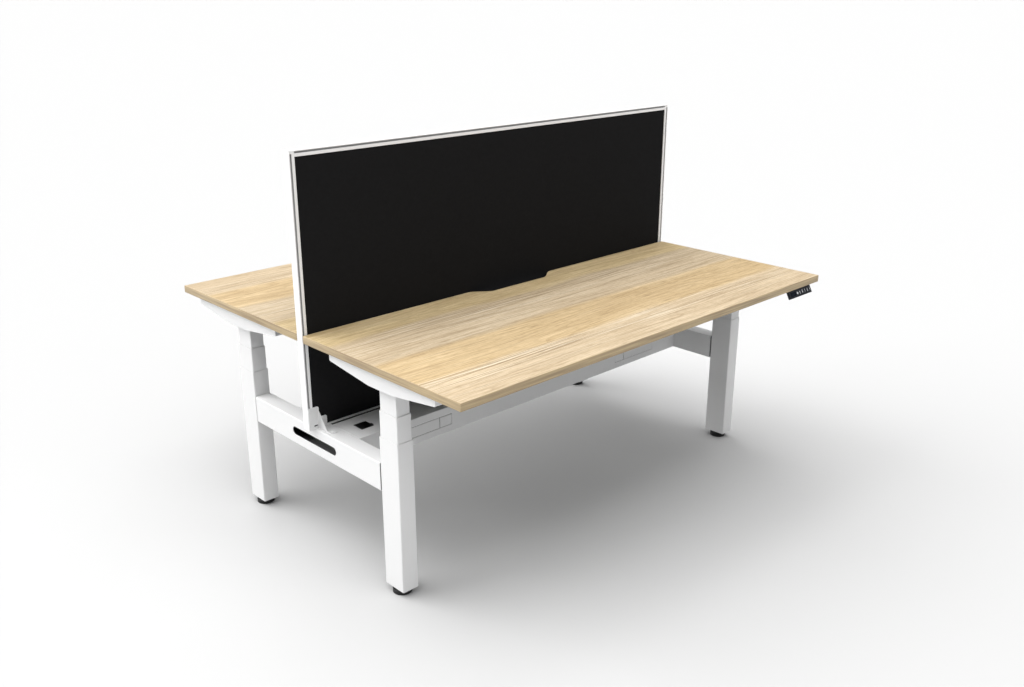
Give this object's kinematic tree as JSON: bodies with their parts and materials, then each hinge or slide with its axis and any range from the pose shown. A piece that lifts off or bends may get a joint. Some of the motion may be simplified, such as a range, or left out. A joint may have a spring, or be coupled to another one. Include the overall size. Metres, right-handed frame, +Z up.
{
  "type": "benching desk",
  "caption": "Back-to-back height-adjustable benching desk with telescopic steel legs, shared crossbeams, lidded cable tray, fabric privacy screen and oak worktops.",
  "frame": {"origin": "on the floor, at the middle of the box round the whole desk, under the screen", "axes": "+X along the worktops, -Y towards the near user and +Y towards the far one, +Z up"},
  "size_m": [1.8, 1.5602, 1.336],
  "materials": {
    "white_steel": "matt white powder coat on folded sheet and tube",
    "white_aluminium": "white powder coat on extruded aluminium",
    "zinc_steel": "bright zinc",
    "oak_laminate": "light oak laminate, matt",
    "oak_edge": "oak pattern edge banding",
    "core_board": "raw board",
    "black_fabric": "plain weave",
    "drive_housing": "black cast",
    "foot_steel": "black coated disc, stem and lock nut",
    "black_plastic": "fine grain",
    "key_plastic": "satin"
  },
  "bodies": {
    "frame": {"leg_tube_near_left": "white_steel", "leg_tube_near_right": "white_steel", "leg_tube_far_left": "white_steel", "leg_tube_far_right": "white_steel", "leg_base_posts": "zinc_steel", "crossbeam_left": "white_steel", "crossbeam_right": "white_steel", "cable_tray": "white_steel", "tray_lid_near": "white_steel", "tray_lid_far": "white_steel", "power_blanks": "white_steel", "screen_post_left": "white_aluminium", "screen_post_right": "white_aluminium", "screen_top_rail": "white_aluminium", "screen_bottom_rail": "white_aluminium", "screen_board": "core_board", "screen_fabric_near": "black_fabric", "screen_fabric_far": "black_fabric", "screen_brackets": "white_steel", "frame_screws": "zinc_steel"},
    "near_desk": {"near_worktop": "oak_laminate", "near_edge_band": "oak_edge", "near_arm_left": "white_steel", "near_arm_right": "white_steel", "near_top_beam": "white_steel", "near_lift_drives": "drive_housing", "near_inner_tubes": "white_steel", "near_control_box": "black_plastic", "near_handset": "black_plastic", "near_top_screws": "zinc_steel"},
    "near_mid_stage": {"near_mid_tubes": "white_steel"},
    "near_screw_left_body": {"near_screw_left": "zinc_steel"},
    "near_screw_right_body": {"near_screw_right": "zinc_steel"},
    "near_key_up_body": {"near_key_up": "key_plastic"},
    "near_key_down_body": {"near_key_down": "key_plastic"},
    "near_key_one_body": {"near_key_one": "key_plastic"},
    "near_key_two_body": {"near_key_two": "key_plastic"},
    "near_key_three_body": {"near_key_three": "key_plastic"},
    "far_desk": {"far_worktop": "oak_laminate", "far_edge_band": "oak_edge", "far_arm_left": "white_steel", "far_arm_right": "white_steel", "far_top_beam": "white_steel", "far_lift_drives": "drive_housing", "far_inner_tubes": "white_steel", "far_control_box": "black_plastic", "far_handset": "black_plastic", "far_top_screws": "zinc_steel"},
    "far_mid_stage": {"far_mid_tubes": "white_steel"},
    "far_screw_left_body": {"far_screw_left": "zinc_steel"},
    "far_screw_right_body": {"far_screw_right": "zinc_steel"},
    "far_key_up_body": {"far_key_up": "key_plastic"},
    "far_key_down_body": {"far_key_down": "key_plastic"},
    "far_key_one_body": {"far_key_one": "key_plastic"},
    "far_key_two_body": {"far_key_two": "key_plastic"},
    "far_key_three_body": {"far_key_three": "key_plastic"},
    "foot_near_left_body": {"foot_near_left": "foot_steel"},
    "foot_near_right_body": {"foot_near_right": "foot_steel"},
    "foot_far_left_body": {"foot_far_left": "foot_steel"},
    "foot_far_right_body": {"foot_far_right": "foot_steel"}
  },
  "joints": [
    {"name": "near_desk_lift", "type": "slide", "parent": "frame", "child": "near_desk", "axis": [0, 0, 1], "range_m": [-0.142, 0.508]},
    {"name": "near_mid_stage_lift", "type": "slide", "parent": "frame", "child": "near_mid_stage", "axis": [0, 0, 1], "range_m": [-0.071, 0.254]},
    {"name": "near_screw_left_turn", "type": "hinge", "parent": "near_desk", "child": "near_screw_left_body", "pos_m": [-0.8455, -0.408, 0.5], "axis": [0, 0, 1], "range_deg": [-3200, 11435]},
    {"name": "near_screw_right_turn", "type": "hinge", "parent": "near_desk", "child": "near_screw_right_body", "pos_m": [0.8455, -0.408, 0.5], "axis": [0, 0, 1], "range_deg": [-3200, 11435]},
    {"name": "near_key_up_press", "type": "slide", "parent": "near_desk", "child": "near_key_up_body", "axis": [0, 0.8829, -0.4695], "range_m": [0, 0.0005], "stiffness_N_per_m": 1200, "springref_m": -0.0003},
    {"name": "near_key_down_press", "type": "slide", "parent": "near_desk", "child": "near_key_down_body", "axis": [0, 0.8829, -0.4695], "range_m": [0, 0.0005], "stiffness_N_per_m": 1200, "springref_m": -0.0003},
    {"name": "near_key_one_press", "type": "slide", "parent": "near_desk", "child": "near_key_one_body", "axis": [0, 0.8829, -0.4695], "range_m": [0, 0.0005], "stiffness_N_per_m": 1200, "springref_m": -0.0003},
    {"name": "near_key_two_press", "type": "slide", "parent": "near_desk", "child": "near_key_two_body", "axis": [0, 0.8829, -0.4695], "range_m": [0, 0.0005], "stiffness_N_per_m": 1200, "springref_m": -0.0003},
    {"name": "near_key_three_press", "type": "slide", "parent": "near_desk", "child": "near_key_three_body", "axis": [0, 0.8829, -0.4695], "range_m": [0, 0.0005], "stiffness_N_per_m": 1200, "springref_m": -0.0003},
    {"name": "far_desk_lift", "type": "slide", "parent": "frame", "child": "far_desk", "axis": [0, 0, 1], "range_m": [-0.142, 0.508]},
    {"name": "far_mid_stage_lift", "type": "slide", "parent": "frame", "child": "far_mid_stage", "axis": [0, 0, 1], "range_m": [-0.071, 0.254]},
    {"name": "far_screw_left_turn", "type": "hinge", "parent": "far_desk", "child": "far_screw_left_body", "pos_m": [-0.8455, 0.408, 0.5], "axis": [0, 0, 1], "range_deg": [-3200, 11435]},
    {"name": "far_screw_right_turn", "type": "hinge", "parent": "far_desk", "child": "far_screw_right_body", "pos_m": [0.8455, 0.408, 0.5], "axis": [0, 0, 1], "range_deg": [-3200, 11435]},
    {"name": "far_key_up_press", "type": "slide", "parent": "far_desk", "child": "far_key_up_body", "axis": [0, -0.8829, -0.4695], "range_m": [0, 0.0005], "stiffness_N_per_m": 1200, "springref_m": -0.0003},
    {"name": "far_key_down_press", "type": "slide", "parent": "far_desk", "child": "far_key_down_body", "axis": [0, -0.8829, -0.4695], "range_m": [0, 0.0005], "stiffness_N_per_m": 1200, "springref_m": -0.0003},
    {"name": "far_key_one_press", "type": "slide", "parent": "far_desk", "child": "far_key_one_body", "axis": [0, -0.8829, -0.4695], "range_m": [0, 0.0005], "stiffness_N_per_m": 1200, "springref_m": -0.0003},
    {"name": "far_key_two_press", "type": "slide", "parent": "far_desk", "child": "far_key_two_body", "axis": [0, -0.8829, -0.4695], "range_m": [0, 0.0005], "stiffness_N_per_m": 1200, "springref_m": -0.0003},
    {"name": "far_key_three_press", "type": "slide", "parent": "far_desk", "child": "far_key_three_body", "axis": [0, -0.8829, -0.4695], "range_m": [0, 0.0005], "stiffness_N_per_m": 1200, "springref_m": -0.0003},
    {"name": "foot_near_left_level", "type": "slide", "parent": "frame", "child": "foot_near_left_body", "axis": [0, 0, -1], "range_m": [0, 0.015]},
    {"name": "foot_near_right_level", "type": "slide", "parent": "frame", "child": "foot_near_right_body", "axis": [0, 0, -1], "range_m": [0, 0.015]},
    {"name": "foot_far_left_level", "type": "slide", "parent": "frame", "child": "foot_far_left_body", "axis": [0, 0, -1], "range_m": [0, 0.015]},
    {"name": "foot_far_right_level", "type": "slide", "parent": "frame", "child": "foot_far_right_body", "axis": [0, 0, -1], "range_m": [0, 0.015]}
  ],
  "couplings": [
    {"joint": "near_mid_stage_lift", "follows": "near_desk_lift", "ratio": 0.5},
    {"joint": "near_screw_left_turn", "follows": "near_desk_lift", "rad_per_m": 392.7},
    {"joint": "near_screw_right_turn", "follows": "near_desk_lift", "rad_per_m": 392.7},
    {"joint": "far_mid_stage_lift", "follows": "far_desk_lift", "ratio": 0.5},
    {"joint": "far_screw_left_turn", "follows": "far_desk_lift", "rad_per_m": 392.7},
    {"joint": "far_screw_right_turn", "follows": "far_desk_lift", "rad_per_m": 392.7}
  ]
}
